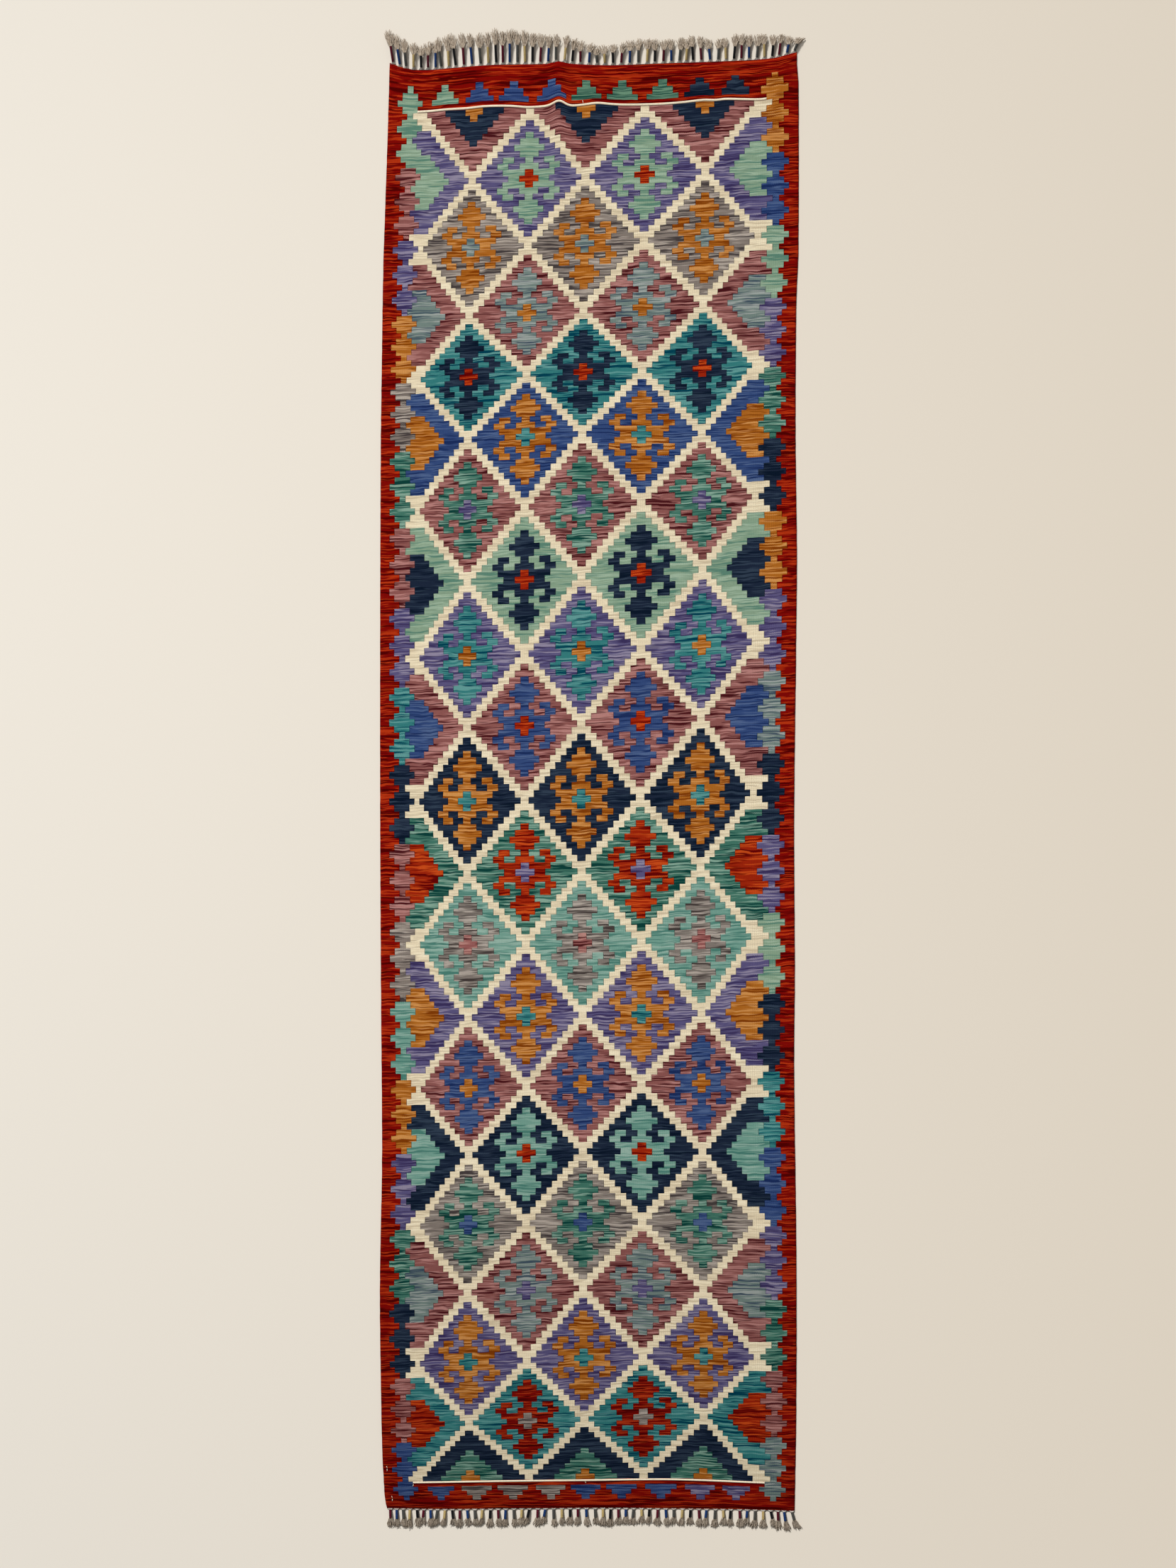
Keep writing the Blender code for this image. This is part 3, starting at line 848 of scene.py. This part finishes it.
BOTTOM_TASSELS = (
    (0.00, -0.0010, 0.0375, -0.0030), (0.05, -0.0070, 0.0395, 0.0020),
    (0.09, -0.0108, 0.0365, -0.0010), (0.16, -0.0150, 0.0365, -0.0005),
    (0.24, -0.0166, 0.0365, -0.0008), (0.31, -0.0170, 0.0375, -0.0005),
    (0.39, -0.0138, 0.0375, -0.0045), (0.46, -0.0118, 0.0365, 0.0035),
    (0.54, -0.0068, 0.0375, 0.0005), (0.61, -0.0062, 0.0355, -0.0008),
    (0.69, -0.0042, 0.0355, -0.0012), (0.76, 0.0006, 0.0365, -0.0006),
    (0.84, 0.0040, 0.0365, -0.0010), (0.92, 0.0064, 0.0365, 0.0020),
    (0.97, 0.0030, 0.0405, 0.0050), (1.00, 0.0018, 0.0385, 0.0060))
warp_yarn = yarn_finish("warp_yarn", (154, 140, 124), (172, 159, 142), (132, 118, 103), 260.0)
root_yarn = yarn_finish("root_yarn", (168, 162, 154), (190, 184, 176), (136, 128, 120), 500.0)
WRAPS = (
    yarn_finish("wrap_maroon", (72, 8, 25), (90, 16, 36), (52, 4, 17), 900.0),
    yarn_finish("wrap_blue", (14, 44, 92), (24, 58, 110), (8, 30, 68), 900.0),
    yarn_finish("wrap_grey", (62, 62, 59), (78, 78, 74), (47, 47, 45), 900.0),
    yarn_finish("wrap_cream", (162, 142, 94), (178, 158, 110), (140, 120, 76), 900.0),
    yarn_finish("wrap_black", (7, 7, 9), (14, 14, 18), (4, 4, 5), 900.0),
)
# Sizes of each fringe, in this order: how far the warps stand free before the binding, its
# radius, how many ends fray out and how thick they are, how far they spread and on what
# curve, how high the tassel is raised, what share of it is bound, what more of it at the
# right-hand corner, what is trimmed off the lengths above, and how far the ends sink.
TOP_FRINGE = {
    "free": 0.0044, "radius": 0.0028, "ends": 12, "end_radius": 0.00092, "spread": 0.0096,
    "curve": 0.88, "raised": 0.0082, "bound": 0.53, "corner": 0.04, "trim": 0.0,
    "sink": (0.1, 0.8),
}
BOTTOM_FRINGE = {
    "free": 0.0022, "radius": 0.0030, "ends": 16, "end_radius": 0.00082, "spread": 0.0078,
    "curve": 0.70, "raised": 0.0050, "bound": 0.50, "corner": 0.0, "trim": 0.0010,
    "sink": (0.5, 1.0),
}
# The free warps: how many, how thick, how far apart in the cloth and at the binding, and
# how far inside the cloth they start and inside the binding they end.
FREE_WARPS = 5
FREE_STEPS = 3
FREE_RADIUS = 0.00085
FREE_REACH = 0.0042
FREE_GATHERED = 0.0012
FREE_INSIDE = 0.0012
FREE_LAP = 0.0008
# The binding: length of one round, and the narrowing between rounds and at both ends.
WRAP_COIL = 0.0011
WRAP_GROOVE = 0.88
WRAP_END = 0.8
STEM_LIFT = 0.0020
# The frayed ends: where they leave the binding, how far they lap into it, how much they
# wave and lie over one another, and their height where they have sunk.
END_STEPS = 7
END_GATHERED = 0.0013
END_LAP = 0.03
END_WAVE = 0.0010
END_LAYER = 0.0011
END_REST = 0.0006


def free_warps(middle, share_free, outward, own):
    """The warps that draw together out of the cloth, each as a list of points."""
    warps = []
    half_count = (FREE_WARPS - 1) / 2.0
    for warp in range(FREE_WARPS):
        side = (warp - half_count) / half_count + own.uniform(-0.08, 0.08)
        points = []
        for step in range(FREE_STEPS + 1):
            share = step / FREE_STEPS
            x, y, z = middle(share_free * share)
            y -= outward * FREE_INSIDE * (1.0 - share)
            reach = FREE_REACH * (1.0 - share) ** 1.5 + FREE_GATHERED
            points.append((x + side * reach, y, z, FREE_RADIUS))
        warps.append(points)
    return warps


def binding(middle, start, end, rounds, full):
    """Rounds of thread laid side by side, as one list of points."""
    points = []
    for half in range(2 * rounds + 1):
        x, y, z = middle(start + (end - start) * half / (2.0 * rounds))
        radius = full * (1.0 if half % 2 else WRAP_GROOVE)
        if half in (0, 2 * rounds):
            radius *= WRAP_END
        points.append((x, y, max(z, full), radius))
    return points


def frayed_ends(middle, end, turn, spread, sizes, own):
    """The ends that fan out past the binding and sink towards the floor."""
    frayed = []
    half_count = (sizes["ends"] - 1) / 2.0
    for strand in range(sizes["ends"]):
        side = (strand - half_count) / half_count + own.uniform(-0.10, 0.10)
        reach = spread * own.uniform(0.92, 1.08)
        tip = 1.0 - 0.10 * side * side + own.uniform(-0.07, 0.04)
        sink = own.uniform(*sizes["sink"])
        phase = own.uniform(0.0, 6.28)
        waves = own.uniform(1.0, 2.2)
        points = []
        for step in range(END_STEPS + 1):
            share = step / END_STEPS
            x, y, z = middle(end - END_LAP + (tip - end + END_LAP) * share)
            wobble = END_WAVE * share * math.sin(phase + waves * 2.0 * math.pi * share)
            fan = END_GATHERED + (reach - END_GATHERED) * share ** sizes["curve"]
            x += side * fan + wobble
            x += turn * share  # the whole brush turns a little to one side
            z -= (z - END_REST) * share * sink
            z += END_LAYER * math.sin(phase)
            radius = sizes["end_radius"] * (1.12 - 0.62 * share ** 3)
            points.append((x, y, max(sizes["end_radius"], z), radius))
        frayed.append(points)
    return frayed


def make_fringe(name, at_top, table, sizes):
    """Every tassel along one end: gathered warps, a bound stem and frayed ends."""
    outward = 1.0 if at_top else -1.0
    own = random.Random(23)
    yarns = []
    wraps = []
    for number in range(TASSELS):
        even = (number + 0.5) / TASSELS
        drift = smooth_between(table, even, 1) + own.uniform(-PLACE_CHANCE, PLACE_CHANCE)
        across = even + drift / END_WIDTH
        length = (smooth_between(table, even, 2) - sizes["trim"]) * own.uniform(0.93, 1.07)
        lean = smooth_between(table, even, 3) + own.uniform(-LEAN_CHANCE, LEAN_CHANCE)
        bound = sizes["bound"] + own.uniform(-BOUND_CHANCE, BOUND_CHANCE)
        bound += sizes["corner"] * bell((1.0 - even) / 0.1)
        x0 = side_x(across, 1.0 if at_top else 0.0)
        y0 = edge_y(across, at_top)
        raised = sizes["raised"] * (1.08 - 0.42 * even) * own.uniform(0.8, 1.2)
        brush_turn = own.uniform(-TURN_CHANCE, TURN_CHANCE)
        brush_spread = sizes["spread"] * own.uniform(0.75, 1.22)

        def middle(share):
            """A place along the tassel's middle, from the cloth's edge to its tip."""
            x = x0 + lean * share
            y = y0 + outward * length * share
            lift = pucker_lift(x, y) + STEM_LIFT
            if share < bound:
                lift += raised * math.sin(0.5 * math.pi * share / bound)
            else:
                lift += raised * (1.0 - 0.25 * (share - bound) / (1.0 - bound))
            return x + SHIFT_X, y + SHIFT_Y, lift

        share_free = (sizes["free"] + FREE_LAP) / length
        yarns += [(points, 1) for points in free_warps(middle, share_free, outward, own)]
        start = sizes["free"] / length
        rounds = max(8, int((bound - start) * length / WRAP_COIL))
        wraps.append((binding(middle, start, bound, rounds, sizes["radius"]), number % len(WRAPS)))
        yarns += [(points, 0) for points in frayed_ends(middle, bound, brush_turn, brush_spread,
                                                        sizes, own)]
    bunch = round_yarns(name + "_yarns", yarns, 1, [warp_yarn, root_yarn])
    bound = round_yarns(name + "_wraps", wraps, 2, list(WRAPS))
    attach(bunch, "root")
    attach(bound, "root")
    return bunch, bound


top_yarns, top_wraps = make_fringe("tassels_top", True, TOP_TASSELS, TOP_FRINGE)
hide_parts("fringe_top")
bottom_yarns, bottom_wraps = make_fringe("tassels_bottom", False, BOTTOM_TASSELS, BOTTOM_FRINGE)
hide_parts("fringe_bottom")
